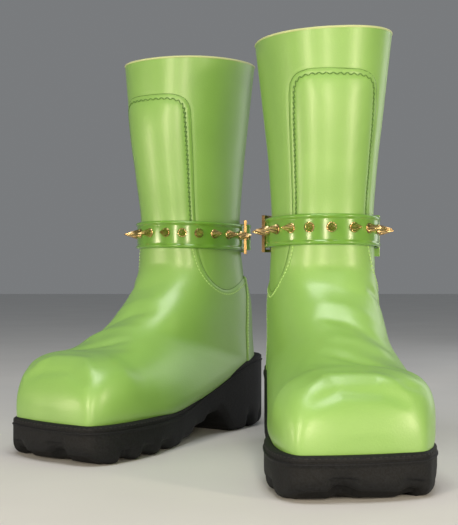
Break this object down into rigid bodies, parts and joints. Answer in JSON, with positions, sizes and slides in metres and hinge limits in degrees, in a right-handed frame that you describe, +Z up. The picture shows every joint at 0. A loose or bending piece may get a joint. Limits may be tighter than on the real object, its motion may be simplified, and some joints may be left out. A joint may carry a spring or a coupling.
{
  "type": "pair of ankle strap boots",
  "caption": "Pair of mid-calf pull-on boots with a blunt square toe, lugged platform sole, padded front panel and a spiked ankle strap with a buckle.",
  "frame": {"origin": "centre of the pair's footprint box, on the ground plane", "axes": "+Z up, -Y towards the viewer that the toes face, +X towards the outside of the left boot"},
  "size_m": [0.3258, 0.4125, 0.3539],
  "materials": {
    "sole_rubber": "fine matt grain",
    "midsole_foam": "matt",
    "shank_steel": "rolled",
    "insole_board": "fibre board",
    "footbed_leather": "smooth",
    "boot_leather": "satin with a fine grain",
    "panel_leather": "satin, lightly padded",
    "stiffener": "resin-stiffened felt",
    "lining": "unglazed pigskin",
    "binding": "smooth cut edge",
    "strap_leather": "patent",
    "spike_metal": "polished, faceted",
    "screw_steel": "plain",
    "buckle_metal": "polished"
  },
  "bodies": {
    "left_foot": {"left_outsole": "sole_rubber", "left_welt": "sole_rubber", "left_midsole": "midsole_foam", "left_shank": "shank_steel", "left_insole_board": "insole_board", "left_footbed": "footbed_leather", "left_vamp": "boot_leather", "left_heel_piece": "boot_leather", "left_toe_puff": "stiffener", "left_heel_counter": "stiffener", "left_foot_lining": "lining"},
    "left_leg": {"left_leg_outer": "boot_leather", "left_leg_inner": "boot_leather", "left_leg_lining": "lining", "left_collar_binding": "binding", "left_front_panel": "panel_leather", "left_strap": "strap_leather", "left_strap_loop": "strap_leather", "left_spikes": "spike_metal", "left_spike_screws": "screw_steel"},
    "left_buckle": {"left_buckle_frame": "buckle_metal"},
    "left_prong": {"left_buckle_prong": "buckle_metal"},
    "left_keeper": {"left_keeper": "strap_leather"},
    "right_foot": {"right_outsole": "sole_rubber", "right_welt": "sole_rubber", "right_midsole": "midsole_foam", "right_shank": "shank_steel", "right_insole_board": "insole_board", "right_footbed": "footbed_leather", "right_vamp": "boot_leather", "right_heel_piece": "boot_leather", "right_toe_puff": "stiffener", "right_heel_counter": "stiffener", "right_foot_lining": "lining"},
    "right_leg": {"right_leg_outer": "boot_leather", "right_leg_inner": "boot_leather", "right_leg_lining": "lining", "right_collar_binding": "binding", "right_front_panel": "panel_leather", "right_strap": "strap_leather", "right_strap_loop": "strap_leather", "right_spikes": "spike_metal", "right_spike_screws": "screw_steel"},
    "right_buckle": {"right_buckle_frame": "buckle_metal"},
    "right_prong": {"right_buckle_prong": "buckle_metal"},
    "right_keeper": {"right_keeper": "strap_leather"}
  },
  "joints": [
    {"name": "right_boot_lift", "type": "slide", "parent": "left_foot", "child": "right_foot", "axis": [0, 0, 1], "range_m": [0, 0.35]},
    {"name": "left_ankle_flex", "type": "hinge", "parent": "left_foot", "child": "left_leg", "pos_m": [0.09564, 0.01018, 0.146], "axis": [0.9959, 0.0906, 0], "range_deg": [-8, 12], "stiffness_Nm_per_rad": 6},
    {"name": "left_buckle_swing", "type": "hinge", "parent": "left_leg", "child": "left_buckle", "pos_m": [0.05397, 0.04146, 0.184], "axis": [0, 0, -1], "range_deg": [0, 35]},
    {"name": "left_prong_swing", "type": "hinge", "parent": "left_buckle", "child": "left_prong", "pos_m": [0.05397, 0.04146, 0.184], "axis": [0, 0, -1], "range_deg": [0, 75]},
    {"name": "left_keeper_slide", "type": "hinge", "parent": "left_leg", "child": "left_keeper", "pos_m": [0.09114, 0.02305, 0.184], "axis": [0, 0, -1], "range_deg": [-3, 7]},
    {"name": "right_ankle_flex", "type": "hinge", "parent": "right_foot", "child": "right_leg", "pos_m": [-0.01923, 0.1286, 0.146], "axis": [0.8241, -0.5664, 0], "range_deg": [-8, 12], "stiffness_Nm_per_rad": 6},
    {"name": "right_buckle_swing", "type": "hinge", "parent": "right_leg", "child": "right_buckle", "pos_m": [0.03241, 0.13548, 0.184], "axis": [0, 0, 1], "range_deg": [0, 35]},
    {"name": "right_prong_swing", "type": "hinge", "parent": "right_buckle", "child": "right_prong", "pos_m": [0.03241, 0.13548, 0.184], "axis": [0, 0, 1], "range_deg": [0, 75]},
    {"name": "right_keeper_slide", "type": "hinge", "parent": "right_leg", "child": "right_keeper", "pos_m": [-0.00901, 0.13762, 0.184], "axis": [0, 0, 1], "range_deg": [-3, 7]}
  ]
}
